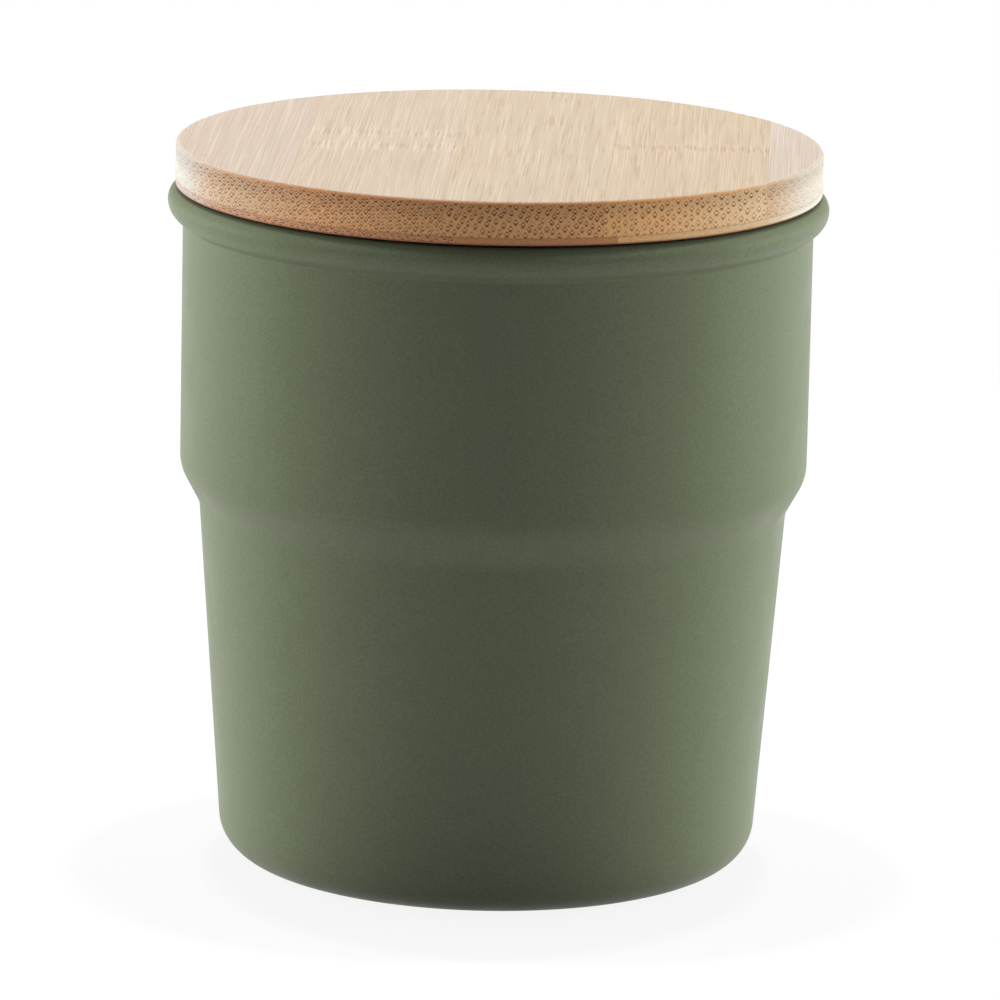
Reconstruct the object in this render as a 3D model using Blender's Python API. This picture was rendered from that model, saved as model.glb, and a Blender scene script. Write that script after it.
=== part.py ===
# A handle-less stepped ceramic cup with a laminated bamboo lid, in metres, +Z up.
# The origin is the centre of the foot, on the surface that the cup stands on.
# The lid lifts straight up along +Z. Its bamboo strips and their glue joints run along Y.
from math import ceil, copysign, cos, pi, radians, sin, tan

import bmesh
import bpy
from mathutils import Vector

# Cup, outside
CUP_HEIGHT = 0.0864          # foot to the crown of the rim
UPPER_RADIUS = 0.0399        # straight wall between the rim bead and the step
STEP_RADIUS = 0.0374         # top of the tapered wall, just under the step
BASE_RADIUS = 0.0340         # tapered wall carried down to the foot
STEP_TOP = 0.0506            # height of the corner where the step leaves the upper wall
STEP_DROP = 0.0046           # height that the step takes
SHOULDER_FILLET = 0.0052     # round corner above the step
NECK_FILLET = 0.0040         # hollow corner below the step
BASE_FILLET = 0.0052         # round corner between wall and foot

# Rim bead
BEAD_OVERHANG = 0.0021       # wall to the bead's upper corner, before it is rounded
BEAD_HEIGHT = 0.0032         # crown to the bead's lower corner
BEAD_DRAFT = 0.0004          # how far the bead's face leans in on its way down to that corner
BEAD_SLOPE = 0.0015          # fall of the bead's underside towards the wall
BEAD_FILLET = 0.0023         # round corner between the bead's face and its underside
BEAD_ROOT_FILLET = 0.0007    # hollow corner between bead and wall
CROWN_FILLET = 0.0017        # round corner between the bead's face and the crown
CROWN_LAND = 0.0012          # width of the flat that the lid lies over

# Cup, inside and underside
WALL = 0.0034                # thickness of the fired wall
FLOOR = 0.0050               # foot to the inside floor
INSIDE_FILLET = 0.0060       # round corner between inside wall and floor
FOOT_LAND = 0.0042           # width of the flat ring that touches the table
FOOT_RECESS = 0.0010         # depth of the hollow inside that ring
RECESS_FILLET = 0.0007       # hollow corner of that recess
FOOT_ARRIS = 0.0004          # round on the inner edge of the flat ring

# Lid
LID_INSET = 0.0011           # how far the lid's edge lies inside the bead's upper corner
UPPER_PLY = 0.0047           # thickness of the upper layer of strips
FLANGE_SLIVER = 0.0007       # part of the lower layer that is left at full width
TOP_ARRIS = 0.0005           # round on the lid's upper edge
LOWER_ARRIS = 0.0003         # round on the lid's lower edge
STRIP_WIDTH = 0.0196         # width of one bamboo strip
UPPER_JOINT = -0.0052        # X of the upper layer's glue joint nearest to the axis
LOWER_JOINT = -0.0035        # the same in the lower layer
PLUG_DEPTH = 0.0075          # how far the lid reaches into the mouth
PLUG_CLEARANCE = 0.0012      # plug to the wall of the mouth
PLUG_ARRIS = 0.0008          # round on the plug's lower edge
JOINT_MARGIN = 0.0010        # least bamboo between a glue joint and the root of the seal groove

# Seal ring
SEAL_HEIGHT = 0.0034         # height of the ring
SEAL_BAND = 0.0013           # thickness of the ring between its lips
SEAL_LIP = 0.0010            # how far each of the two lips stands out from the band
SEAL_ROUND = 0.0003          # round on a lip's edge and between the lips
SEAL_CLEARANCE = 0.0003      # ring to its groove, and lips to the wall of the mouth

# Between the cup and its lid
SEAT_GAP = 0.0004            # lid to the crown of the rim

# Facets
TURN_STEPS = 64
ARC_STEP = radians(15)
SMALL_FILLET = 0.0010        # arcs up to this radius take half as many facets
SHARP_ANGLE = radians(35)
FLAT_ANGLE = radians(0.5)
WELD = 1e-6

# Finishes: linear colour and roughness
GLAZE = ((0.125, 0.150, 0.098), 0.45)
BAMBOO = ((0.60, 0.41, 0.24), 0.55)
BAMBOO_CORE = ((0.52, 0.34, 0.19), 0.60)
SILICONE = ((0.75, 0.74, 0.70), 0.50)


def corner_arc(before, corner, after, radius):
    """Points of the arc that rounds a corner of an outline, from one tangent point to the other."""
    to_before = (before - corner).normalized()
    to_after = (after - corner).normalized()
    half_angle = to_before.angle(to_after) / 2
    centre = corner + (to_before + to_after).normalized() * radius / sin(half_angle)
    start = corner + to_before * radius / tan(half_angle) - centre
    sweep = pi - 2 * half_angle
    if to_before.cross(to_after) > 0:
        sweep = -sweep
    facet = ARC_STEP if radius > SMALL_FILLET else 2 * ARC_STEP
    steps = max(2, ceil(abs(sweep) / facet))
    arc = []
    for step in range(steps + 1):
        turn = sweep * step / steps
        x = start.x * cos(turn) - start.y * sin(turn)
        y = start.x * sin(turn) + start.y * cos(turn)
        arc.append(centre + Vector((x, y)))
    return arc


def rounded(corners):
    """An outline of (radius, height, fillet) corners, with an arc at each corner that has a fillet."""
    points = [Vector(corner[:2]) for corner in corners]
    outline = [points[0]]
    for index in range(1, len(points) - 1):
        fillet = corners[index][2]
        if fillet:
            outline += corner_arc(points[index - 1], points[index], points[index + 1], fillet)
        else:
            outline.append(points[index])
    outline.append(points[-1])
    return outline


def inset_corner(before, corner, after, distance):
    """The corner moved inwards, so that both walls that meet there keep the same thickness."""
    along_before = (corner - before).normalized()
    along_after = (after - corner).normalized()
    inward = Vector((along_before.y, -along_before.x)) + Vector((along_after.y, -along_after.x))
    inward.normalize()
    half_turn = along_before.angle(along_after) / 2
    return corner + inward * distance / cos(half_turn)


def turned(outline, closed=False):
    """A bmesh solid made by turning an outline of (radius, height) points about Z."""
    solid = bmesh.new()
    verts = [solid.verts.new((point.x, 0, point.y)) for point in outline]
    edges = [solid.edges.new(pair) for pair in zip(verts, verts[1:])]
    if closed:
        edges.append(solid.edges.new((verts[-1], verts[0])))
    bmesh.ops.spin(
        solid, geom=verts + edges, cent=(0, 0, 0), axis=(0, 0, 1),
        angle=2 * pi, steps=TURN_STEPS, use_merge=True,
    )
    bmesh.ops.remove_doubles(solid, verts=solid.verts[:], dist=WELD)
    bmesh.ops.recalc_face_normals(solid, faces=solid.faces[:])
    return solid


def trim(solid, x, side):
    """Cut a solid square across X and close it, keeping what lies towards minus side."""
    geometry = solid.verts[:] + solid.edges[:] + solid.faces[:]
    cut = bmesh.ops.bisect_plane(
        solid, geom=geometry, dist=WELD, plane_co=(x, 0, 0), plane_no=(side, 0, 0), clear_outer=True,
    )
    rim = [item for item in cut["geom_cut"] if isinstance(item, bmesh.types.BMEdge)]
    for edge in rim:
        for vert in edge.verts:
            vert.co.x = x
    bmesh.ops.edgeloop_fill(solid, edges=rim)


def finish(solid, name, look, parent=None):
    """A named, smooth-shaded object with its own material."""
    mesh = bpy.data.meshes.new(name)
    bmesh.ops.recalc_face_normals(solid, faces=solid.faces[:])
    solid.to_mesh(mesh)
    solid.free()
    mesh.shade_smooth()
    mesh.set_sharp_from_angle(angle=SHARP_ANGLE)
    colour, roughness = look
    material = bpy.data.materials.new(name)
    material.use_nodes = True
    shader = material.node_tree.nodes["Principled BSDF"]
    shader.inputs["Base Color"].default_value = (*colour, 1)
    shader.inputs["Roughness"].default_value = roughness
    shader.inputs["Metallic"].default_value = 0
    mesh.materials.append(material)
    piece = bpy.data.objects.new(name, mesh)
    piece.parent = parent
    bpy.context.collection.objects.link(piece)
    return piece


def cup_body():
    """The fired cup: rim bead, straight wall, step, tapered wall, round base and hollowed foot."""
    bead_radius = UPPER_RADIUS + BEAD_OVERHANG
    bead_corner = Vector((bead_radius - BEAD_DRAFT, CUP_HEIGHT - BEAD_HEIGHT))
    bead_root = Vector((UPPER_RADIUS, bead_corner.y - BEAD_SLOPE))
    shoulder = Vector((UPPER_RADIUS, STEP_TOP))
    neck = Vector((STEP_RADIUS, STEP_TOP - STEP_DROP))
    base = Vector((BASE_RADIUS, 0))
    inner_shoulder = inset_corner(bead_root, shoulder, neck, WALL)
    inner_neck = inset_corner(shoulder, neck, base, WALL)
    taper = (neck - base).normalized()
    inner_base = inner_neck - taper * (inner_neck.y - FLOOR) / taper.y
    lip_fillet = bead_radius - CROWN_FILLET - CROWN_LAND - inner_shoulder.x
    foot_edge = BASE_RADIUS - BASE_FILLET - FOOT_LAND
    corners = [
        (0, FLOOR, 0),
        (*inner_base, INSIDE_FILLET),
        (*inner_neck, NECK_FILLET + WALL),
        (*inner_shoulder, SHOULDER_FILLET - WALL),
        (inner_shoulder.x, CUP_HEIGHT, lip_fillet),
        (bead_radius, CUP_HEIGHT, CROWN_FILLET),
        (*bead_corner, BEAD_FILLET),
        (*bead_root, BEAD_ROOT_FILLET),
        (*shoulder, SHOULDER_FILLET),
        (*neck, NECK_FILLET),
        (*base, BASE_FILLET),
        (foot_edge, 0, FOOT_ARRIS),
        (foot_edge - FOOT_RECESS, FOOT_RECESS, RECESS_FILLET),
        (0, FOOT_RECESS, 0),
    ]
    return finish(turned(rounded(corners)), "cup_body", GLAZE)


def glue_joints(nearest, radius):
    """X of every glue joint across a lid of this radius, from the joint nearest to the axis."""
    first = ceil((-radius - nearest) / STRIP_WIDTH)
    last = ceil((radius - nearest) / STRIP_WIDTH)
    return [nearest + STRIP_WIDTH * count for count in range(first, last)]


def clear_of_groove(joint, groove, plug):
    """A joint that would saw a loose sliver off beside the seal groove moves in to the whole bamboo."""
    limit = groove - JOINT_MARGIN
    if limit < abs(joint) < plug:
        return copysign(limit, joint)
    return joint


def strips(outline, name, joints, look, parent):
    """One layer of the lid, sawn at its glue joints into strips from left to right."""
    for count, (left, right) in enumerate(zip([None] + joints, joints + [None]), start=1):
        solid = turned(outline)
        if left is not None:
            trim(solid, left, -1)
        if right is not None:
            trim(solid, right, 1)
        bmesh.ops.dissolve_limit(
            solid, angle_limit=FLAT_ANGLE, verts=solid.verts[:], edges=solid.edges[:],
        )
        finish(solid, f"{name}_{count}", look, parent)


def lid():
    """Two layers of bamboo strips and the seal ring, in a frame with Z = 0 at the flange's underside."""
    frame = bpy.data.objects.new("lid_frame", None)
    frame.location.z = CUP_HEIGHT + SEAT_GAP
    bpy.context.collection.objects.link(frame)
    radius = UPPER_RADIUS + BEAD_OVERHANG - LID_INSET
    mouth = UPPER_RADIUS - WALL
    plug = mouth - PLUG_CLEARANCE
    seal_outer = mouth - SEAL_CLEARANCE
    seal_face = seal_outer - SEAL_LIP
    seal_inner = seal_face - SEAL_BAND
    groove = seal_inner - SEAL_CLEARANCE
    seal_top = (SEAL_HEIGHT - PLUG_DEPTH) / 2
    seal_bottom = seal_top - SEAL_HEIGHT
    groove_top = seal_top + SEAL_CLEARANCE
    groove_bottom = seal_bottom - SEAL_CLEARANCE

    upper_outline = rounded([
        (0, FLANGE_SLIVER + UPPER_PLY, 0),
        (radius, FLANGE_SLIVER + UPPER_PLY, TOP_ARRIS),
        (radius, FLANGE_SLIVER, 0),
        (0, FLANGE_SLIVER, 0),
    ])
    strips(upper_outline, "lid_strip", glue_joints(UPPER_JOINT, radius), BAMBOO, frame)

    lower_outline = rounded([
        (0, FLANGE_SLIVER, 0),
        (radius, FLANGE_SLIVER, 0),
        (radius, 0, LOWER_ARRIS),
        (plug, 0, 0),
        (plug, groove_top, 0),
        (groove, groove_top, 0),
        (groove, groove_bottom, 0),
        (plug, groove_bottom, 0),
        (plug, -PLUG_DEPTH, PLUG_ARRIS),
        (0, -PLUG_DEPTH, 0),
    ])
    lower_joints = [clear_of_groove(joint, groove, plug) for joint in glue_joints(LOWER_JOINT, radius)]
    strips(lower_outline, "lid_plug_strip", lower_joints, BAMBOO_CORE, frame)

    # Two lips stand out from the ring's band, each half as high as the ring.
    lip_height = SEAL_HEIGHT / 2
    seal_outline = rounded([
        (seal_inner, seal_bottom, 0),
        (seal_inner, seal_top, 0),
        (seal_face, seal_top, 0),
        (seal_outer, seal_top - lip_height / 2, SEAL_ROUND),
        (seal_face, seal_top - lip_height, SEAL_ROUND),
        (seal_outer, seal_bottom + lip_height / 2, SEAL_ROUND),
        (seal_face, seal_bottom, 0),
    ])
    finish(turned(seal_outline, closed=True), "lid_seal", SILICONE, frame)


for leftover in list(bpy.data.objects):
    bpy.data.objects.remove(leftover, do_unlink=True)
cup_body()
lid()
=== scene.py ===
# Looks of a stepped ceramic cup with a bamboo lid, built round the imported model. Metres, +Z up.
import math

import bpy
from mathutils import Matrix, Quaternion, Vector


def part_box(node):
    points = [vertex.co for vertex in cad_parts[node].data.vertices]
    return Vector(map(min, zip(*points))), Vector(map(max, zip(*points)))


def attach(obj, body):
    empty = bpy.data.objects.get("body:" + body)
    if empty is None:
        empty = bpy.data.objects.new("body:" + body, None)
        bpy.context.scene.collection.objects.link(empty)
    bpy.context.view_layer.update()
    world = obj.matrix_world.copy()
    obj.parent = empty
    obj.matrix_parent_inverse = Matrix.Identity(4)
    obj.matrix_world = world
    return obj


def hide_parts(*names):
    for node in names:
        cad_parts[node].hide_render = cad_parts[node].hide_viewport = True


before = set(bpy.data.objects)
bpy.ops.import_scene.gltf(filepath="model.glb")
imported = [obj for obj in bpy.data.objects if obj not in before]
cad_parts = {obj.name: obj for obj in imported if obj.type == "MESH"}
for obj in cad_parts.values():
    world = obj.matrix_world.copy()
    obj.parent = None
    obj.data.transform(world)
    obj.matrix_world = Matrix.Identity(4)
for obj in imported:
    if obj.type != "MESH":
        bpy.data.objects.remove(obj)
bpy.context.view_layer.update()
mm = 0.001
print("frame loaded with", len(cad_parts), "nodes")

# Turned pieces: an outline of corners is drawn point by point and spun about Z
turning = {
    "steps": 192,               # facets in one turn
    "arcStep": 6,               # degrees from point to point on a fillet
    "smallFillet": 1.0 * mm,
    "smallArcStep": 15,         # the same on fillets up to that size
    "fewestSteps": 3,
    "ringGap": 0.4 * mm,        # extra ring beside a fillet, so that a flat wall shades flat
    "ringStep": 5.0 * mm,       # widest gap between rings
    "weld": 0.001 * mm,
    "sharpAngle": 28,           # edges past this many degrees stay crisp
}


def filletPoints(before, corner, after, radius):
    toBefore = (before - corner).normalized()
    toAfter = (after - corner).normalized()
    half = toBefore.angle(toAfter) / 2
    centre = corner + (toBefore + toAfter).normalized() * radius / math.sin(half)
    start = corner + toBefore * radius / math.tan(half) - centre
    sweep = math.pi - 2 * half
    if toBefore.cross(toAfter) > 0:
        sweep = -sweep
    arcStep = turning["arcStep"] if radius > turning["smallFillet"] else turning["smallArcStep"]
    count = max(turning["fewestSteps"], math.ceil(abs(sweep) / math.radians(arcStep)))
    points = []
    for index in range(count + 1):
        turn = sweep * index / count
        x = start.x * math.cos(turn) - start.y * math.sin(turn)
        y = start.x * math.sin(turn) + start.y * math.cos(turn)
        points.append(centre + Vector((x, y)))
    return points


def straightPoints(start, end):
    # rings between two corners, none where the run is short
    length = (end - start).length
    gap = turning["ringGap"]
    if length < 3 * gap:
        return []
    count = max(1, math.ceil((length - 2 * gap) / turning["ringStep"]))
    places = [gap + (length - 2 * gap) * index / count for index in range(count + 1)]
    return [start.lerp(end, place / length) for place in places]


def outlineOf(corners, closed=False):
    # corners are (radius, height, fillet), in the order in which the outline is drawn
    points = [Vector(corner[:2]) for corner in corners]
    outline = []
    for index, corner in enumerate(corners):
        ends = index in (0, len(corners) - 1) and not closed
        if corner[2] and not ends:
            before = points[index - 1]
            after = points[(index + 1) % len(points)]
            arc = filletPoints(before, points[index], after, corner[2])
        else:
            arc = [points[index]]
        if outline:
            outline += straightPoints(outline[-1], arc[0])
        outline += arc
    if closed:
        outline.append(outline[0])
    return outline


def openForEdit(piece):
    bpy.ops.object.select_all(action="DESELECT")
    piece.select_set(True)
    bpy.context.view_layer.objects.active = piece
    bpy.ops.object.mode_set(mode="EDIT")
    bpy.ops.mesh.select_all(action="SELECT")


def closeEdit():
    bpy.ops.mesh.select_all(action="SELECT")
    bpy.ops.mesh.remove_doubles(threshold=turning["weld"])
    bpy.ops.mesh.normals_make_consistent(inside=False)
    bpy.ops.object.mode_set(mode="OBJECT")
    bpy.ops.object.shade_smooth_by_angle(angle=math.radians(turning["sharpAngle"]))


def turnPiece(name, outline):
    bpy.ops.object.select_all(action="DESELECT")
    bpy.ops.mesh.primitive_plane_add(size=mm, location=(outline[0].x, 0, outline[0].y))
    piece = bpy.context.object
    piece.name = name
    piece.data.name = name
    bpy.ops.object.transform_apply(location=True, rotation=True, scale=True)
    openForEdit(piece)
    bpy.ops.mesh.merge(type="CENTER")               # one point, to draw the outline from
    for here, there in zip(outline, outline[1:]):
        move = there - here
        bpy.ops.mesh.extrude_region_move(TRANSFORM_OT_translate={"value": (move.x, 0, move.y)})
    bpy.ops.mesh.select_all(action="SELECT")
    bpy.ops.mesh.spin(steps=turning["steps"], angle=2 * math.pi, center=(0, 0, 0), axis=(0, 0, 1))
    closeEdit()
    return piece


def copyPiece(piece, name):
    bpy.ops.object.select_all(action="DESELECT")
    piece.select_set(True)
    bpy.context.view_layer.objects.active = piece
    bpy.ops.object.duplicate(linked=False)
    copied = bpy.context.object
    copied.name = name
    copied.data.name = name
    return copied


def sawPiece(piece, left, right):
    # keeps what lies between two glue joints; None is the lid's own edge
    openForEdit(piece)
    if left is not None:
        bpy.ops.mesh.bisect(plane_co=(left, 0, 0), plane_no=(1, 0, 0), use_fill=True, clear_inner=True,
                            threshold=turning["weld"])
        bpy.ops.mesh.select_all(action="SELECT")
    if right is not None:
        bpy.ops.mesh.bisect(plane_co=(right, 0, 0), plane_no=(1, 0, 0), use_fill=True, clear_outer=True,
                            threshold=turning["weld"])
    closeEdit()


# Cup: one turned shell with an even wall and a foot ring
_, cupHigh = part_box("cup_body")
cupShape = {
    "wallRadius": 39.9 * mm,
    "height": cupHigh.z,
    "beadOverhang": 2.1 * mm,   # wall to the bead's upper corner, before rounding
    "beadHeight": 3.05 * mm,
    "beadDraft": 0.30 * mm,
    "beadSlope": 1.35 * mm,
    "beadFillet": 2.6 * mm,
    "beadRootFillet": 0.25 * mm,
    "crownFillet": 1.7 * mm,
    "crownLand": 1.2 * mm,
    "stepRadius": 37.4 * mm,
    "stepTop": 50.6 * mm,
    "stepDrop": 4.6 * mm,
    "shoulderFillet": 5.2 * mm,
    "neckFillet": 4.0 * mm,
    "baseRadius": 34.0 * mm,
    "baseFillet": 5.2 * mm,
    "wall": 3.4 * mm,
    "floor": 5.0 * mm,
    "insideFillet": 6.0 * mm,
    "footLand": 4.2 * mm,
    "footRecess": 1.0 * mm,
    "recessFillet": 0.7 * mm,
    "footArris": 0.4 * mm,
}


def insetCorner(before, corner, after, distance):
    # the inner wall's corner, so that the wall is as thick above it as below
    alongBefore = (corner - before).normalized()
    alongAfter = (after - corner).normalized()
    inward = Vector((alongBefore.y, -alongBefore.x)) + Vector((alongAfter.y, -alongAfter.x))
    inward.normalize()
    return corner + inward * distance / math.cos(alongBefore.angle(alongAfter) / 2)


def makeCup(shape):
    beadRadius = shape["wallRadius"] + shape["beadOverhang"]
    beadCorner = Vector((beadRadius - shape["beadDraft"], shape["height"] - shape["beadHeight"]))
    beadRoot = Vector((shape["wallRadius"], beadCorner.y - shape["beadSlope"]))
    shoulder = Vector((shape["wallRadius"], shape["stepTop"]))
    neck = Vector((shape["stepRadius"], shape["stepTop"] - shape["stepDrop"]))
    base = Vector((shape["baseRadius"], 0))
    innerShoulder = insetCorner(beadRoot, shoulder, neck, shape["wall"])
    innerNeck = insetCorner(shoulder, neck, base, shape["wall"])
    taper = (neck - base).normalized()
    innerBase = innerNeck - taper * (innerNeck.y - shape["floor"]) / taper.y
    lipFillet = beadRadius - shape["crownFillet"] - shape["crownLand"] - innerShoulder.x
    footEdge = shape["baseRadius"] - shape["baseFillet"] - shape["footLand"]
    corners = [
        (0, shape["floor"], 0),
        (*innerBase, shape["insideFillet"]),
        (*innerNeck, shape["neckFillet"] + shape["wall"]),
        (*innerShoulder, shape["shoulderFillet"] - shape["wall"]),
        (innerShoulder.x, shape["height"], lipFillet),
        (beadRadius, shape["height"], shape["crownFillet"]),
        (*beadCorner, shape["beadFillet"]),
        (*beadRoot, shape["beadRootFillet"]),
        (*shoulder, shape["shoulderFillet"]),
        (*neck, shape["neckFillet"]),
        (*base, shape["baseFillet"]),
        (footEdge, 0, shape["footArris"]),
        (footEdge - shape["footRecess"], shape["footRecess"], shape["recessFillet"]),
        (0, shape["footRecess"], 0),
    ]
    return turnPiece("cup", outlineOf(corners))


cup = makeCup(cupShape)
print("cup turned:", len(cup.data.polygons), "faces")

# Lid: an upper and a lower layer of bamboo, each sawn at its glue joints
stripCount = 5
upperBoxes = [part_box(f"lid_strip_{count}") for count in range(1, stripCount + 1)]
lowerBoxes = [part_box(f"lid_plug_strip_{count}") for count in range(1, stripCount + 1)]
sealLow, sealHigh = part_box("lid_seal")
middleStrip = stripCount // 2
lidShape = {
    "radius": upperBoxes[-1][1].x,
    "top": upperBoxes[middleStrip][1].z,
    "plyJoint": upperBoxes[middleStrip][0].z + 0.2 * mm,        # shows a little above the CAD joint
    "underside": cupHigh.z + 0.36 * mm,                         # gap to the cup's rim
    "plugRadius": 35.3 * mm,
    "plugBottom": lowerBoxes[middleStrip][0].z,
    "grooveGap": 0.3 * mm,      # seal ring to its groove
    "sealInner": 33.9 * mm,
    "topArris": 0.55 * mm,
    "lowerArris": 0.18 * mm,
    "plugArris": 0.8 * mm,
    "grooveArris": 0.12 * mm,
}


def makeUpperLayer(shape):
    return turnPiece("lid_upper", outlineOf([
        (0, shape["top"], 0),
        (shape["radius"], shape["top"], shape["topArris"]),
        (shape["radius"], shape["plyJoint"], 0),
        (0, shape["plyJoint"], 0),
    ]))


def makeLowerLayer(shape):
    groove = shape["sealInner"] - shape["grooveGap"]
    grooveTop = sealHigh.z + shape["grooveGap"]
    grooveBottom = sealLow.z - shape["grooveGap"]
    return turnPiece("lid_lower", outlineOf([
        (0, shape["plyJoint"], 0),
        (shape["radius"], shape["plyJoint"], 0),
        (shape["radius"], shape["underside"], shape["lowerArris"]),
        (shape["plugRadius"], shape["underside"], shape["grooveArris"]),
        (shape["plugRadius"], grooveTop, shape["grooveArris"]),
        (groove, grooveTop, shape["grooveArris"]),
        (groove, grooveBottom, shape["grooveArris"]),
        (shape["plugRadius"], grooveBottom, shape["grooveArris"]),
        (shape["plugRadius"], shape["plugBottom"], shape["plugArris"]),
        (0, shape["plugBottom"], 0),
    ]))


def sawLayer(layer, boxes, name):
    made = []
    for count, (low, high) in enumerate(boxes, start=1):
        strip = copyPiece(layer, f"{name}_{count}")
        left = low.x if count > 1 else None
        right = high.x if count < len(boxes) else None
        sawPiece(strip, left, right)
        made.append(strip)
    bpy.data.objects.remove(layer, do_unlink=True)
    return made


upperStrips = sawLayer(makeUpperLayer(lidShape), upperBoxes, "bamboo_strip")
lowerStrips = sawLayer(makeLowerLayer(lidShape), lowerBoxes, "bamboo_plug_strip")
print("lid sawn into", len(upperStrips) + len(lowerStrips), "strips")

# Seal ring with two soft lips
sealShape = {
    "inner": lidShape["sealInner"],
    "outer": sealHigh.x,
    "lip": 1.0 * mm,
    "round": 0.3 * mm,
    "bandRound": 0.15 * mm,
}


def makeSeal(shape):
    face = shape["outer"] - shape["lip"]
    lipHeight = (sealHigh.z - sealLow.z) / 2
    return turnPiece("seal_ring", outlineOf([
        (shape["inner"], sealLow.z, shape["bandRound"]),
        (shape["inner"], sealHigh.z, shape["bandRound"]),
        (face, sealHigh.z, shape["bandRound"]),
        (shape["outer"], sealHigh.z - lipHeight / 2, shape["round"]),
        (face, sealHigh.z - lipHeight, shape["round"]),
        (shape["outer"], sealLow.z + lipHeight / 2, shape["round"]),
        (face, sealLow.z, shape["bandRound"]),
    ], closed=True))


seal = makeSeal(sealShape)
print("seal ring turned")

# Shader helpers
noiseSpan = (0.3, 0.7)          # nearly all of a noise lies between these values


def newFinish(name):
    finish = bpy.data.materials.new(name)
    finish.use_nodes = True
    return finish, finish.node_tree, finish.node_tree.nodes["Principled BSDF"]


def addNode(tree, kind, wires=None, **settings):
    # wires gives each socket its value, or the output that feeds it
    node = tree.nodes.new("ShaderNode" + kind)
    for setting, value in settings.items():
        setattr(node, setting, value)
    for socket, value in (wires or {}).items():
        if isinstance(value, bpy.types.NodeSocket):
            tree.links.new(value, node.inputs[socket])
        else:
            node.inputs[socket].default_value = value
    return node


def calc(tree, operation, *values):
    return addNode(tree, "Math", dict(enumerate(values)), operation=operation).outputs[0]


def vectorCalc(tree, operation, *values):
    return addNode(tree, "VectorMath", dict(enumerate(values)), operation=operation).outputs[0]


def lengthOf(tree, vector):
    return addNode(tree, "VectorMath", {0: vector}, operation="LENGTH").outputs["Value"]


def scaled(tree, vector, level):
    return addNode(tree, "VectorMath", {0: vector, "Scale": level}, operation="SCALE").outputs[0]


def stretched(tree, x, y, z, scales):
    parts = [calc(tree, "MULTIPLY", value, scale) for value, scale in zip((x, y, z), scales)]
    return addNode(tree, "CombineXYZ", dict(enumerate(parts))).outputs[0]


def turned(tree, vector, degrees):
    wires = {"Vector": vector, "Angle": math.radians(degrees)}
    return addNode(tree, "VectorRotate", wires, rotation_type="Z_AXIS").outputs[0]


def fade(tree, value, start, end, low=0.0, high=1.0):
    # smooth change from low to high as value goes from start to end
    wires = {"Value": value, "From Min": start, "From Max": end, "To Min": low, "To Max": high}
    return addNode(tree, "MapRange", wires, interpolation_type="SMOOTHSTEP").outputs["Result"]


def noiseOf(tree, vector, scale=1.0, detail=2.0, roughness=0.5, output=0):
    wires = {"Vector": vector, "Scale": scale, "Detail": detail, "Roughness": roughness}
    return addNode(tree, "TexNoise", wires).outputs[output]


def uneven(tree, noise, amount):
    # a level that strays from 1 by up to this amount
    return fade(tree, noise, *noiseSpan, 1 - amount, 1 + amount)


def mixColour(tree, share, first, second, blend="MIX"):
    wires = {0: share, 6: first, 7: second}             # by number, because the names repeat
    return addNode(tree, "Mix", wires, data_type="RGBA", blend_type=blend).outputs[2]


def shade(colour, level=1.0):
    return (colour[0] * level, colour[1] * level, colour[2] * level, 1)


def tinted(tree, ground, mask, strength, colour):
    return mixColour(tree, calc(tree, "MULTIPLY", mask, strength), ground, shade(colour))


def millimetres(tree):
    # the piece's own coordinates in millimetres, whole and in parts, and the way that its surface faces
    place = addNode(tree, "TexCoord")
    vector = scaled(tree, place.outputs["Object"], 1 / mm)
    parts = addNode(tree, "SeparateXYZ", {0: vector})
    return vector, parts.outputs, place.outputs["Normal"]


def addBump(tree, shader, look, height):
    wires = {"Strength": look["bump"], "Distance": look["bumpDepth"], "Height": height}
    tree.links.new(addNode(tree, "Bump", wires).outputs[0], shader.inputs["Normal"])


# Satin glaze: fine mottle, slightly uneven gloss, bare clay where the foot stands.
# Lengths are in millimetres
glaze = {
    "colour": (0.114, 0.136, 0.081),
    "mottleSize": 0.30,
    "mottle": 0.09,
    "cloudSize": 7.0,
    "cloud": 0.02,
    "roughness": (0.38, 0.46),
    "ior": 1.30,
    "bumpSize": 0.30,
    "bump": 0.10,
    "bumpDepth": 0.02 * mm,             # in metres, as the bump node has it
    "clay": (0.56, 0.47, 0.36),
    "clayRoughness": 0.9,
    "clayRing": (24.8, 28.6),           # from the axis
    "clayHeight": 0.12,
    "clayEdge": 0.1,                    # half the width of the change to glaze
    "clayWaver": 0.25,                  # how far that edge strays
    "clayWaverSize": 4.0,
    "gritFineness": 3.0,                # noise steps in a millimetre
    "gritRamp": (0.35, 0.65, 0.85, 1.1),
}


def bareClay(tree, vector, x, y, z, look):
    # mask of the ring that the glaze leaves free
    radius = lengthOf(tree, stretched(tree, x, y, z, (1, 1, 0)))
    noise = noiseOf(tree, vector, 1 / look["clayWaverSize"])
    waver = fade(tree, noise, *noiseSpan, -look["clayWaver"], look["clayWaver"])
    ring = calc(tree, "ADD", radius, waver)
    edge = look["clayEdge"]
    low, high = look["clayRing"]
    inner = fade(tree, ring, low - edge, low + edge)
    outer = fade(tree, ring, high + edge, high - edge)
    bottom = fade(tree, z, look["clayHeight"] + edge, look["clayHeight"])
    return calc(tree, "MULTIPLY", calc(tree, "MULTIPLY", inner, outer), bottom)


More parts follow.
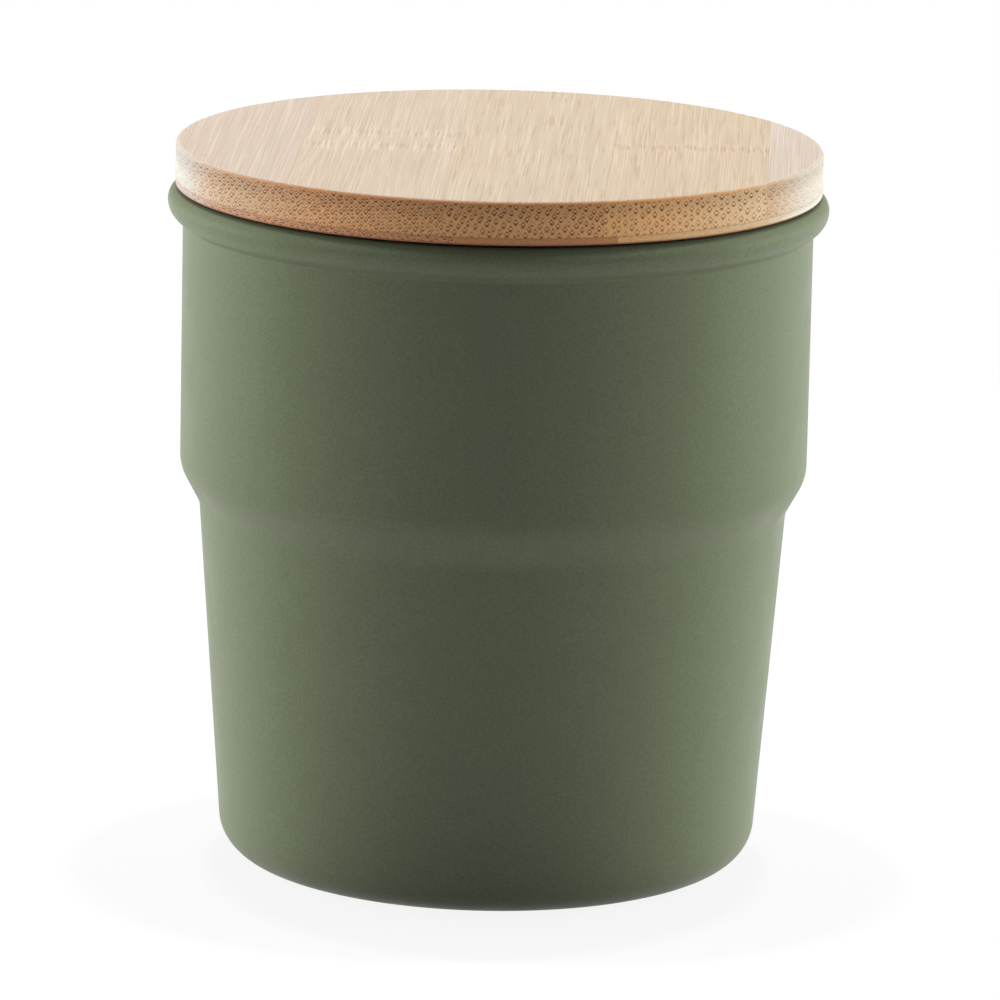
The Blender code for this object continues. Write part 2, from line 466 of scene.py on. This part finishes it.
def makeGlaze(look):
    finish, tree, shader = newFinish("satin_glaze")
    vector, (x, y, z), _ = millimetres(tree)
    mottle = noiseOf(tree, vector, 1 / look["mottleSize"])
    cloud = noiseOf(tree, vector, 1 / look["cloudSize"], detail=3.0)
    level = calc(tree, "MULTIPLY", uneven(tree, mottle, look["mottle"]),
                 uneven(tree, cloud, look["cloud"]))
    bare = bareClay(tree, vector, x, y, z, look)
    grit = noiseOf(tree, vector, look["gritFineness"], detail=3.0)
    clay = scaled(tree, look["clay"], fade(tree, grit, *look["gritRamp"]))
    colour = mixColour(tree, bare, scaled(tree, look["colour"], level), clay)
    tree.links.new(colour, shader.inputs["Base Color"])
    gloss = fade(tree, cloud, *noiseSpan, *look["roughness"])
    dull = calc(tree, "MAXIMUM", gloss, calc(tree, "MULTIPLY", bare, look["clayRoughness"]))
    tree.links.new(dull, shader.inputs["Roughness"])
    shader.inputs["IOR"].default_value = look["ior"]
    addBump(tree, shader, look, noiseOf(tree, vector, 1 / look["bumpSize"]))
    return finish


# Bamboo: bundles of fibre run along Y, so they show as marks on a sawn end and as lines along a strip.
# Lengths are in millimetres. A grain is the noise steps in a millimetre along X, Y and Z. A ramp or a
# turn is the start and the end of a change, and with four numbers also the levels there.

# One entry for each strip, from left to right: spacing of its bundles across and up, degrees by which
# their rows are turned, half width and half height of one, how dark its spots are at the top and at the
# bottom of the strip, tones of the rim and of the face, strength of brown dashes, and knuckles as
# (y, half height, dark, white)
upperLooks = [
    {"pitch": (1.04, 1.02), "turn": -14, "bundle": (0.25, 0.34), "dark": (1.0, 0.70),
     "rim": (1.00, 1.01, 1.02), "face": (1.00, 0.985, 1.01), "dash": 0.0,
     "knuckles": []},
    {"pitch": (1.06, 1.04), "turn": -8, "bundle": (0.26, 0.35), "dark": (1.0, 0.75),
     "rim": (1.01, 1.00, 1.00), "face": (1.00, 0.985, 0.965), "dash": 0.2,
     "knuckles": [(5.4, 2.6, 0.6, 0.9), (-3.6, 2.8, 0.65, 1.0)]},
    {"pitch": (1.36, 1.32), "turn": -17, "bundle": (0.28, 0.40), "dark": (1.0, 0.85),
     "rim": (1.04, 1.03, 1.02), "face": (1.00, 0.975, 0.93), "dash": 0.42,
     "knuckles": []},
    {"pitch": (1.46, 1.42), "turn": -5, "bundle": (0.26, 0.43), "dark": (1.0, 0.70),
     "rim": (1.14, 1.16, 1.07), "face": (1.00, 0.965, 0.89), "dash": 0.36,
     "knuckles": [(0.2, 2.6, 1.3, 0.45)]},
    {"pitch": (1.04, 1.02), "turn": 10, "bundle": (0.23, 0.31), "dark": (0.9, 0.60),
     "rim": (1.01, 0.98, 0.90), "face": (1.00, 1.02, 1.06), "dash": 0.0,
     "knuckles": []},
]
lowerLooks = [
    {"pitch": (1.00, 1.04), "turn": 8, "bundle": (0.24, 0.30), "dark": (1.0, 1.0),
     "rim": (1.06, 1.00, 1.03), "face": (0.92, 0.88, 0.86), "dash": 0.3,
     "knuckles": []},
    {"pitch": (1.00, 1.04), "turn": 5, "bundle": (0.24, 0.30), "dark": (1.0, 1.0),
     "rim": (1.00, 0.97, 1.06), "face": (0.90, 0.86, 0.84), "dash": 0.3,
     "knuckles": []},
    {"pitch": (1.80, 1.30), "turn": 0, "bundle": (0.24, 0.30), "dark": (0.3, 0.6),
     "rim": (0.97, 0.85, 0.79), "face": (0.94, 0.86, 0.80), "dash": 0.3,
     "knuckles": [(6.0, 2.0, 0.5, 0.5)]},
    {"pitch": (1.80, 1.30), "turn": 0, "bundle": (0.24, 0.30), "dark": (0.3, 0.6),
     "rim": (1.28, 1.38, 1.28), "face": (0.96, 0.88, 0.82), "dash": 0.3,
     "knuckles": []},
    {"pitch": (1.40, 0.90), "turn": 0, "bundle": (0.22, 0.28), "dark": (0.3, 0.5),
     "rim": (1.20, 1.30, 1.24), "face": (0.96, 0.90, 0.84), "dash": 0.3,
     "knuckles": []},
]


def grainOf(tree, x, y, z, grain, detail=1.0, roughness=0.5, output=0):
    # noise drawn out along the fibres
    return noiseOf(tree, stretched(tree, x, y, z, grain), 1.0, detail, roughness, output)


# Marks of one bundle as (centre, reach), in half widths and half heights of it
bundleLook = {
    "upper": ((0.0, 0.72), (0.52, 0.36)),
    "lower": ((0.0, -0.60), (0.76, 0.46)),
    "beside": ((0.80, 0.05), (0.36, 0.42)),
    "heart": ((0.0, 0.10), (0.40, 0.32)),
    "markRamp": (1.30, 0.60),           # soft border of a mark, in reaches
    "upperRamp": (0.3, 1.0, 0.95, 0.80),        # strength from the bottom of the strip to its top
    "besideRamp": (0.2, 0.8, 0.45, 0.80),       # strength by luck
    "luckRamp": (0.0, 0.5, 0.6, 1.0),
    "darkRamp": (0.1, 0.9),
    "jitter": (0.24, 0.24, 0.0),        # how far a bundle stands off its place
    "crowding": 0.025,                  # bundles crowd towards the outer skin, which lies uppermost
}


def nearestBundle(tree, x, z, look, seed):
    # bundles stand in two sets of cells half a cell apart: the way to the nearest one, and its luck
    cellSize = (*look["pitch"], 1.0)
    plan = turned(tree, stretched(tree, x, z, x, (1, 1, 0)), look["turn"])
    plan = vectorCalc(tree, "DIVIDE", plan, cellSize)
    ways = []
    for shift in (0.0, 0.5):
        place = vectorCalc(tree, "ADD", plan, (shift, shift, 0.0))
        cell = vectorCalc(tree, "FLOOR", place)
        luck = addNode(tree, "TexWhiteNoise", {"Vector": cell, "W": seed + shift}, noise_dimensions="4D")
        inCell = vectorCalc(tree, "SUBTRACT", vectorCalc(tree, "FRACTION", place), (0.5, 0.5, 0.0))
        offset = vectorCalc(tree, "SUBTRACT", luck.outputs["Color"], (0.5, 0.5, 0.5))
        offset = vectorCalc(tree, "MULTIPLY", offset, bundleLook["jitter"])
        way = vectorCalc(tree, "SUBTRACT", vectorCalc(tree, "MULTIPLY", inCell, cellSize), offset)
        ways.append((way, luck.outputs["Color"]))
    (first, firstLuck), (second, secondLuck) = ways
    nearer = calc(tree, "LESS_THAN", lengthOf(tree, second), lengthOf(tree, first))
    way = turned(tree, mixColour(tree, nearer, first, second), -look["turn"])
    return way, mixColour(tree, nearer, firstLuck, secondLuck)


def bundleMarks(tree, x, z, depth, look, seed):
    # a pale heart with a dark spot above it, a larger one below and a faint one on each side
    way, luck = nearestBundle(tree, x, z, look, seed)
    across, up, _ = addNode(tree, "SeparateXYZ", {0: way}).outputs
    width, height = look["bundle"]
    mirrored = stretched(tree, calc(tree, "ABSOLUTE", across), up, up, (1 / width, 1 / height, 0))

    def mark(name, strength=1.0):
        centre, reach = bundleLook[name]
        away = vectorCalc(tree, "SUBTRACT", mirrored, (*centre, 0.0))
        distance = lengthOf(tree, vectorCalc(tree, "DIVIDE", away, (*reach, 1.0)))
        return calc(tree, "MULTIPLY", fade(tree, distance, *bundleLook["markRamp"]), strength)

    chance, otherChance, _ = addNode(tree, "SeparateColor", {0: luck}).outputs
    upper = mark("upper", fade(tree, depth, *bundleLook["upperRamp"]))
    beside = mark("beside", fade(tree, chance, *bundleLook["besideRamp"]))
    spots = calc(tree, "MAXIMUM", calc(tree, "MAXIMUM", upper, mark("lower")), beside)
    spots = calc(tree, "MULTIPLY", spots, fade(tree, otherChance, *bundleLook["luckRamp"]))
    darkTop, darkBottom = look["dark"]
    darkness = fade(tree, depth, *bundleLook["darkRamp"], darkBottom, darkTop)
    spots = calc(tree, "MULTIPLY", spots, darkness)
    return spots, mark("heart")


# A knot of the stem, planed through: a comb of short dark and white ticks
knuckleLook = {
    "dark": (0.34, 0.19, 0.085),
    "darkStrength": 0.55,
    "whiteStrength": 0.42,
    "tickGrain": (3.0, 0.07, 0.0),
    "darkTicks": (0.48, 0.62),
    "whiteTicks": (0.48, 0.38),
    "raggedGrain": (2.3, 0.0, 0.0),
    "raggedRoughness": 0.7,
    "raggedReach": 5.5,
    "darkBand": (1.0, 0.3),             # in half heights of the knuckle
    "whiteBand": (1.8, 0.6),
}


def knuckleMarks(tree, x, y, z, knuckles):
    ticks = grainOf(tree, x, y, z, knuckleLook["tickGrain"])
    ragged = grainOf(tree, x, y, z, knuckleLook["raggedGrain"], 2.0, knuckleLook["raggedRoughness"])
    sway = calc(tree, "SUBTRACT", ragged, 0.5)
    wavyY = calc(tree, "MULTIPLY_ADD", sway, knuckleLook["raggedReach"], y)
    darkArea = whiteArea = 0.0
    for middle, half, darkness, whiteness in knuckles:
        away = calc(tree, "ABSOLUTE", calc(tree, "SUBTRACT", wavyY, middle))
        darkStart, darkFull = knuckleLook["darkBand"]
        band = calc(tree, "MULTIPLY", fade(tree, away, half * darkStart, half * darkFull), darkness)
        darkArea = calc(tree, "MAXIMUM", darkArea, band)
        whiteStart, whiteFull = knuckleLook["whiteBand"]
        band = calc(tree, "MULTIPLY", fade(tree, away, half * whiteStart, half * whiteFull), whiteness)
        whiteArea = calc(tree, "MAXIMUM", whiteArea, band)
    dark = calc(tree, "MULTIPLY", fade(tree, ticks, *knuckleLook["darkTicks"]), darkArea)
    white = calc(tree, "MULTIPLY", fade(tree, ticks, *knuckleLook["whiteTicks"]), whiteArea)
    return dark, white


# Rim: redder and deeper in colour the more squarely it cuts the grain, and partly painted light: the
# sawn end is painted brighter to make up for the dim light on the front, the flank paler and greyer as a
# painted sheen
rimLook = {
    "end": (0.69, 0.370, 0.165),        # sawn across the grain, raised as painted light
    "side": (0.440, 0.305, 0.190),      # sawn askew to it
    "flankAndPaintedSheen": (0.425, 0.405, 0.358),     # cut along it, paler and greyer as a painted sheen
    "endTurn": (0.60, 1.00),            # share of Y in the way it faces, from side to end
    "flankTurn": (0.62, 0.30),          # the same, from side to flank
    "paintedRearShade": (-0.10, 0.40, 1.0, 0.72),       # painted shade: the rim darker towards the rear
    "skinRamp": (0.35, 0.95, 1.0, 0.80),        # ground from the bottom of the strip to its outer skin
    "arris": (0.43, 0.185, 0.070),      # rounded upper edge
    "arrisStrength": 0.9,
    "arrisStart": (0.05, 0.40),         # share of Z in the way it faces
    "arrisEnd": (0.99, 0.80),
    "arrisTurn": (0.25, 0.80, 0.08, 1.0),
    "arrisCover": 0.7,                  # how much of the marks it hides
    # marks fade where the rim runs along the grain, partly as a painted sheen
    "markTurnAndPaintedSheen": (0.28, 0.62, 0.30, 1.0),
    "heart": (0.95, 0.62, 0.36),        # middle of a bundle
    "heartStrength": 0.3,
    "spot": (0.14, 0.036, 0.008),       # dark spots round it
    "spotStrength": 0.92,
    "plugFade": 0.15,                   # over this height the tone changes to the plug's
    "edge": (0.30, 0.085, 0.045),       # dark red along the lower edges
    "edgeBands": {                      # distances at which it starts and is full, and its strength
        "plyJoint": (0.14, 0.03, 0.35),
        "underside": (0.30, 0.12, 0.75),
    },
    "ground": 0.10,                     # unevenness of the sawn ground
    "groundFineness": 4.5,
    "groundRoughness": 0.7,
}


def paintRim(tree, endways, z, nz, depth, spots, heart, look):
    # colour by the way the rim faces: grain tone, with painted light on the end and a painted sheen on
    # the flank
    side = mixColour(tree, fade(tree, endways, *rimLook["flankTurn"]),
                     shade(rimLook["side"]), shade(rimLook["flankAndPaintedSheen"]))
    rim = mixColour(tree, fade(tree, endways, *rimLook["endTurn"]), side, shade(rimLook["end"]))
    rim = scaled(tree, rim, fade(tree, depth, *rimLook["skinRamp"]))
    upperEdge = calc(tree, "MULTIPLY", fade(tree, nz, *rimLook["arrisStart"]),
                     fade(tree, nz, *rimLook["arrisEnd"]))
    arris = calc(tree, "MULTIPLY", upperEdge, fade(tree, endways, *rimLook["arrisTurn"]))
    rim = tinted(tree, rim, arris, rimLook["arrisStrength"], rimLook["arris"])
    # bundles, fainter on that edge, and fainter where the rim runs along the grain: partly real, partly
    # a painted sheen over them
    shown = calc(tree, "MULTIPLY", calc(tree, "MULTIPLY_ADD", upperEdge, -rimLook["arrisCover"], 1.0),
                 fade(tree, endways, *rimLook["markTurnAndPaintedSheen"]))
    heart = calc(tree, "MULTIPLY", heart, shown)
    rim = tinted(tree, rim, heart, rimLook["heartStrength"], rimLook["heart"])
    spots = calc(tree, "MULTIPLY", spots, shown)
    rim = tinted(tree, rim, spots, rimLook["spotStrength"], rimLook["spot"])
    # the plug below the lid's edge has the tone of its strip's face
    underside = lidShape["underside"] / mm
    sliver = fade(tree, z, underside - rimLook["plugFade"], underside)
    tone = mixColour(tree, sliver, shade(look["face"]), shade(look["rim"]))
    rim = mixColour(tree, 1.0, rim, tone, blend="MULTIPLY")
    # darker red along the glue joint between the layers and along the lower edge
    for edge, (start, full, strength) in rimLook["edgeBands"].items():
        away = calc(tree, "ABSOLUTE", calc(tree, "SUBTRACT", z, lidShape[edge] / mm))
        rim = tinted(tree, rim, fade(tree, away, start, full), strength, rimLook["edge"])
    return rim


# Sanded face: long brown and white lines, a few specks, and the knuckles
faceLook = {
    "ground": (0.44, 0.362, 0.286),
    "line": (0.34, 0.235, 0.145),       # brown fibre lines
    "lineStrength": 0.30,
    "pale": (0.60, 0.53, 0.44),         # white ones
    "paleStrength": 0.36,
    "broadGrain": (0.7, 0.012, 0.7),
    "broadRamp": (0.35, 0.65, 0.988, 1.012),
    "dashGrain": (2.4, 0.080, 2.4),
    "dashRamp": (0.58, 0.70),
    "speckle": (0.16, 0.075, 0.035),
    "speckleStrength": 0.6,
    "speckleGap": (2.6, 5.0),           # one place for a speck in every so many millimetres
    "speckleRamp": (0.07, 0.03),
    "speckleLuck": 0.985,
}


def paintFace(tree, x, y, z, line, thread, look):
    face = tinted(tree, shade(faceLook["ground"]), line, faceLook["lineStrength"], faceLook["line"])
    face = tinted(tree, face, thread, faceLook["paleStrength"], faceLook["pale"])
    broad = grainOf(tree, x, y, z, faceLook["broadGrain"])
    face = scaled(tree, face, fade(tree, broad, *faceLook["broadRamp"]))
    gapX, gapY = faceLook["speckleGap"]
    cells = stretched(tree, x, y, z, (1 / gapX, 1 / gapY, 0))
    grid = addNode(tree, "TexVoronoi", {"Vector": cells, "Scale": 1.0}, voronoi_dimensions="2D")
    luck = addNode(tree, "SeparateColor", {0: grid.outputs["Color"]}).outputs[0]
    speckle = calc(tree, "MULTIPLY", fade(tree, grid.outputs["Distance"], *faceLook["speckleRamp"]),
                   calc(tree, "GREATER_THAN", luck, faceLook["speckleLuck"]))
    face = tinted(tree, face, speckle, faceLook["speckleStrength"], faceLook["speckle"])
    if look["dash"]:
        dashes = fade(tree, grainOf(tree, x, y, z, faceLook["dashGrain"]), *faceLook["dashRamp"])
        face = tinted(tree, face, dashes, look["dash"], faceLook["line"])
    if look["knuckles"]:
        dark, white = knuckleMarks(tree, x, y, z, look["knuckles"])
        face = tinted(tree, face, dark, knuckleLook["darkStrength"], knuckleLook["dark"])
        face = tinted(tree, face, white, knuckleLook["whiteStrength"], faceLook["pale"])
    return mixColour(tree, 1.0, face, shade(look["face"]), blend="MULTIPLY")


# The whole strip
bambooLook = {
    "driftStep": 31.7,                  # each strip takes its pattern from another place
    "bundleStep": 7.3,
    "lineStep": 13.1,
    "wander": 0.5,                      # how far a fibre strays
    "driftGrain": (0.3, 0.02, 0.3),
    "coarseGrain": (4.6, 0.036, 4.6),
    "fineGrain": (8.0, 0.046, 8.0),
    "lineRamp": (0.50, 0.70),
    "threadRamp": (0.50, 0.66),
    "flatTurn": (0.80, 0.97),           # share of Z in the way it faces, from rim to flat face
    "glue": (0.30, 0.16, 0.08),
    "glueStrength": 0.25,
    "jointWidth": 0.10,
    "roughness": (0.46, 0.62),
    "specular": 0.2,
    "bump": 0.35,
    "bumpDepth": 0.03 * mm,             # in metres
    "lineDepth": 0.6,                   # shares of that depth
    "spotDepth": 0.8,
}


def makeBamboo(name, look, box, seed):
    finish, tree, shader = newFinish(name)
    vector, (x, y, z), facing = millimetres(tree)
    _, ny, nz = addNode(tree, "SeparateXYZ", {0: facing}).outputs
    low, high = box[0] / mm, box[1] / mm
    # fibres stray slowly as they run along the strip
    driftX = calc(tree, "ADD", x, seed * bambooLook["driftStep"])
    drift = grainOf(tree, driftX, y, z, bambooLook["driftGrain"], output="Color")
    strayX, strayZ, _ = addNode(tree, "SeparateColor", {0: drift}).outputs
    bundleX = calc(tree, "ADD", x, seed * bambooLook["bundleStep"])
    bundleX = calc(tree, "MULTIPLY_ADD", strayX, bambooLook["wander"], bundleX)
    bundleZ = calc(tree, "MULTIPLY_ADD", strayZ, bambooLook["wander"], z)
    height = calc(tree, "MAXIMUM", calc(tree, "SUBTRACT", z, low.z), 0.0)
    crowded = calc(tree, "MULTIPLY", calc(tree, "MULTIPLY", height, height), bundleLook["crowding"])
    depth = fade(tree, z, low.z, high.z)
    spots, heart = bundleMarks(tree, bundleX, calc(tree, "ADD", bundleZ, crowded), depth, look, seed)
    lineX = calc(tree, "ADD", bundleX, seed * bambooLook["lineStep"])
    coarse = grainOf(tree, lineX, y, z, bambooLook["coarseGrain"])
    fine = grainOf(tree, lineX, y, z, bambooLook["fineGrain"])
    line = fade(tree, coarse, *bambooLook["lineRamp"])
    thread = fade(tree, fine, *bambooLook["threadRamp"])
    # rim and flat face
    rim = paintRim(tree, calc(tree, "ABSOLUTE", ny), z, nz, depth, spots, heart, look)
    speck = noiseOf(tree, vector, rimLook["groundFineness"], roughness=rimLook["groundRoughness"])
    # painted shade on the rear half of the rim
    paintedRearShadeLevel = fade(tree, ny, *rimLook["paintedRearShade"])
    rim = scaled(tree, rim, calc(tree, "MULTIPLY", uneven(tree, speck, rimLook["ground"]), paintedRearShadeLevel))
    face = paintFace(tree, lineX, y, z, line, thread, look)
    flat = fade(tree, calc(tree, "ABSOLUTE", nz), *bambooLook["flatTurn"])
    colour = mixColour(tree, flat, rim, face)
    # thin glue lines at the strip's own sides
    leftGap = calc(tree, "SUBTRACT", x, low.x)
    rightGap = calc(tree, "SUBTRACT", high.x, x)
    seam = fade(tree, calc(tree, "MINIMUM", leftGap, rightGap), bambooLook["jointWidth"], 0.0)
    colour = tinted(tree, colour, seam, bambooLook["glueStrength"], bambooLook["glue"])
    tree.links.new(colour, shader.inputs["Base Color"])
    gloss = fade(tree, coarse, *noiseSpan, *bambooLook["roughness"])
    tree.links.new(gloss, shader.inputs["Roughness"])
    shader.inputs["Specular IOR Level"].default_value = bambooLook["specular"]
    relief = calc(tree, "MULTIPLY_ADD", calc(tree, "MULTIPLY", line, flat), -bambooLook["lineDepth"],
                  calc(tree, "MULTIPLY", spots, -bambooLook["spotDepth"]))
    addBump(tree, shader, bambooLook, relief)
    return finish


# Seal: milky silicone rubber
silicone = {
    "colour": (0.74, 0.73, 0.68),
    "cloudSize": 4.0,           # millimetres
    "cloud": 0.04,
    "roughness": (0.38, 0.50),
    "ior": 1.41,
    "scatter": 0.2,
    "scatterDepth": 1.5 * mm,
}


def makeSilicone(look):
    finish, tree, shader = newFinish("milky_silicone")
    vector, _, _ = millimetres(tree)
    cloud = noiseOf(tree, vector, 1 / look["cloudSize"], detail=3.0)
    tone = scaled(tree, look["colour"], uneven(tree, cloud, look["cloud"]))
    tree.links.new(tone, shader.inputs["Base Color"])
    tree.links.new(fade(tree, cloud, *noiseSpan, *look["roughness"]), shader.inputs["Roughness"])
    shader.inputs["Subsurface Weight"].default_value = look["scatter"]
    shader.inputs["Subsurface Scale"].default_value = look["scatterDepth"]
    shader.inputs["IOR"].default_value = look["ior"]
    return finish


def dress(piece, finish, body, node):
    piece.data.materials.clear()
    piece.data.materials.append(finish)
    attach(piece, body)
    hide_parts(node)


dress(cup, makeGlaze(glaze), "cup", "cup_body")
for count, (strip, look, box) in enumerate(zip(upperStrips, upperLooks, upperBoxes), start=1):
    finish = makeBamboo(f"bamboo_{count}", look, box, count)
    dress(strip, finish, "lid", f"lid_strip_{count}")
for count, (strip, look, box) in enumerate(zip(lowerStrips, lowerLooks, lowerBoxes), start=1):
    finish = makeBamboo(f"bamboo_plug_{count}", look, box, count + stripCount)
    dress(strip, finish, "lid", f"lid_plug_strip_{count}")
dress(seal, makeSilicone(silicone), "lid", "lid_seal")
print("finishes on the cup, the seal and", len(upperStrips) + len(lowerStrips), "strips")

# Camera: long lens, a little above the lid, turned slightly off the grain
view = {
    "aim": Vector((0, 0, 0.045)),
    "distance": 1.000,
    "elevation": 12.663,        # degrees
    "azimuth": 2.3,
    "roll": 1.19,
    "imageSize": 1000,          # pixels
    "focalPixels": 7835.87,
    "aimPixel": (492.35, 507.85),
    "sensor": 36.0,
    "clip": (0.05, 50.0),
}


def makeCamera(shot):
    bpy.ops.object.camera_add()
    camera = bpy.context.object
    camera.name = "camera"
    rise = math.radians(shot["elevation"])
    swing = math.radians(shot["azimuth"])
    back = Vector((math.cos(rise) * math.sin(swing), -math.cos(rise) * math.cos(swing), math.sin(rise)))
    camera.location = shot["aim"] + back * shot["distance"]
    camera.rotation_mode = "QUATERNION"
    roll = Quaternion((0, 0, 1), math.radians(shot["roll"]))
    camera.rotation_quaternion = (-back).to_track_quat("-Z", "Y") @ roll
    camera.data.sensor_width = shot["sensor"]
    camera.data.lens = shot["sensor"] * shot["focalPixels"] / shot["imageSize"]
    middle = shot["imageSize"] / 2
    camera.data.shift_x = (middle - shot["aimPixel"][0]) / shot["imageSize"]
    camera.data.shift_y = (shot["aimPixel"][1] - middle) / shot["imageSize"]
    camera.data.clip_start, camera.data.clip_end = shot["clip"]
    bpy.context.scene.camera = camera


makeCamera(view)

# Light: a pair of soft boxes beside the cup and a pair of small lamps overhead
softBoxes = {
    "beside": {
        "swing": 111,           # degrees to each side of the camera
        "reach": 0.75,
        "height": 0.125,
        "size": (0.72, 0.25),
        "level": 21.5,
        "mirrored": False,
    },
    "over": {
        "swing": 138,
        "reach": 0.24,
        "height": 1.60,
        "size": (0.07, 0.07),
        "level": 950.0,
        "mirrored": True,
    },
}


def makeSoftBox(name, box, swing):
    angle = math.radians(swing + view["azimuth"])
    place = Vector((math.sin(angle) * box["reach"], -math.cos(angle) * box["reach"], box["height"]))
    bpy.ops.object.light_add(type="AREA", location=place)
    lamp = bpy.context.object
    lamp.name = name
    lamp.data.shape = "RECTANGLE"
    lamp.data.size, lamp.data.size_y = box["size"]
    lamp.data.energy = box["level"] * math.pi * box["size"][0] * box["size"][1]
    lamp.visible_glossy = box["mirrored"]
    lamp.rotation_mode = "QUATERNION"
    lamp.rotation_quaternion = (view["aim"] - place).to_track_quat("-Z", "Y")


# Pale surroundings, dimmer in front
surround = {"front": 0.20, "back": 0.40, "frontEdge": -0.30, "backEdge": 0.70}


def makeSurround(look):
    world = bpy.data.worlds.new("surround")
    bpy.context.scene.world = world
    world.use_nodes = True
    tree = world.node_tree
    tree.nodes.clear()
    direction = addNode(tree, "TexCoord").outputs["Generated"]
    towardsBack = addNode(tree, "SeparateXYZ", {0: direction}).outputs[1]
    level = fade(tree, towardsBack, look["frontEdge"], look["backEdge"], look["front"], look["back"])
    room = addNode(tree, "Background", {"Color": (1, 1, 1, 1), "Strength": level}).outputs[0]
    white = addNode(tree, "Background", {"Color": (1, 1, 1, 1), "Strength": 1.0}).outputs[0]
    seen = addNode(tree, "LightPath").outputs["Is Camera Ray"]
    mixed = addNode(tree, "MixShader", {0: seen, 1: room, 2: white}).outputs[0]
    addNode(tree, "OutputWorld", {0: mixed})


# Floor: seen white with a soft shadow, and dimmer where it lights the cup from below
floorLook = {
    "size": 12.0,
    "drop": 0.05 * mm,
    "bounce": 0.42,
    "colour": 0.60,
    "shadowShare": 0.12,        # how much of the shadow shows
    "shadowReach": (0.10, 0.40),
    "mirrorShare": 0.9,         # how much of the white the glaze mirrors
}


def makeFloor(look):
    bpy.ops.object.select_all(action="DESELECT")
    bpy.ops.mesh.primitive_plane_add(size=look["size"], location=(0, 0, -look["drop"]))
    floor = bpy.context.object
    floor.name = "floor"
    finish, tree, shader = newFinish("pale_floor")
    tree.nodes.remove(shader)
    bounce = addNode(tree, "BsdfDiffuse", {"Color": shade((1, 1, 1), look["bounce"])}).outputs[0]
    shown = addNode(tree, "BsdfDiffuse", {"Color": shade((1, 1, 1), look["colour"])}).outputs[0]
    glow = addNode(tree, "Emission", {"Color": (1, 1, 1, 1), "Strength": 1.0}).outputs[0]
    path = addNode(tree, "LightPath").outputs
    away = lengthOf(tree, addNode(tree, "TexCoord").outputs["Object"])
    share = fade(tree, away, *look["shadowReach"], look["shadowShare"], 0.0)
    white = addNode(tree, "MixShader", {0: share, 1: glow, 2: shown}).outputs[0]
    seen = calc(tree, "MULTIPLY_ADD", path["Is Glossy Ray"], look["mirrorShare"], path["Is Camera Ray"])
    mixed = addNode(tree, "MixShader", {0: seen, 1: bounce, 2: white}).outputs[0]
    tree.links.new(mixed, tree.nodes["Material Output"].inputs[0])
    floor.data.materials.append(finish)


for name, box in softBoxes.items():
    makeSoftBox(f"soft_box_{name}_left", box, -box["swing"])
    makeSoftBox(f"soft_box_{name}_right", box, box["swing"])
makeSurround(surround)
makeFloor(floorLook)
bpy.context.scene.view_settings.view_transform = "Standard"
print("camera, light and floor set")
